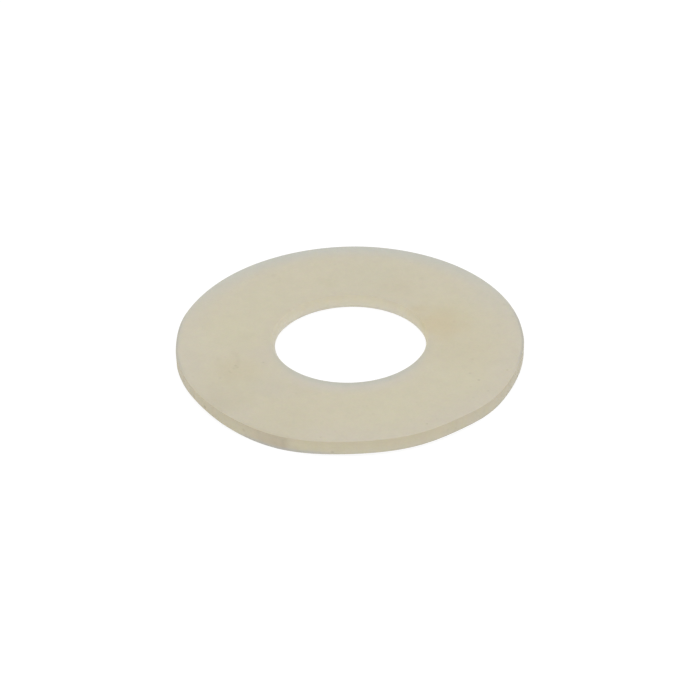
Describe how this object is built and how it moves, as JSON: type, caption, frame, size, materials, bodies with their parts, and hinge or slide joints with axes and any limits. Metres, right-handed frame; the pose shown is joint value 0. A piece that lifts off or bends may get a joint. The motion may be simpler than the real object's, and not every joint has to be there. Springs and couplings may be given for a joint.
{
  "type": "flat washer",
  "caption": "Flat ring washer of soft translucent off-white rubber, with a wide round bore and square-cut edges, that seals or cushions a pipe thread or a bolted joint.",
  "frame": {"origin": "on the axis of the bore, in the plane of the underside", "axes": "+Z along the axis of the bore, up from the underside to the top face; +X and +Y are any two radii, because the ring is round"},
  "size_m": [0.06, 0.06, 0.0025],
  "materials": {
    "soft_rubber": "matte"
  },
  "bodies": {
    "root": {"washer": "soft_rubber"}
  },
  "joints": []
}
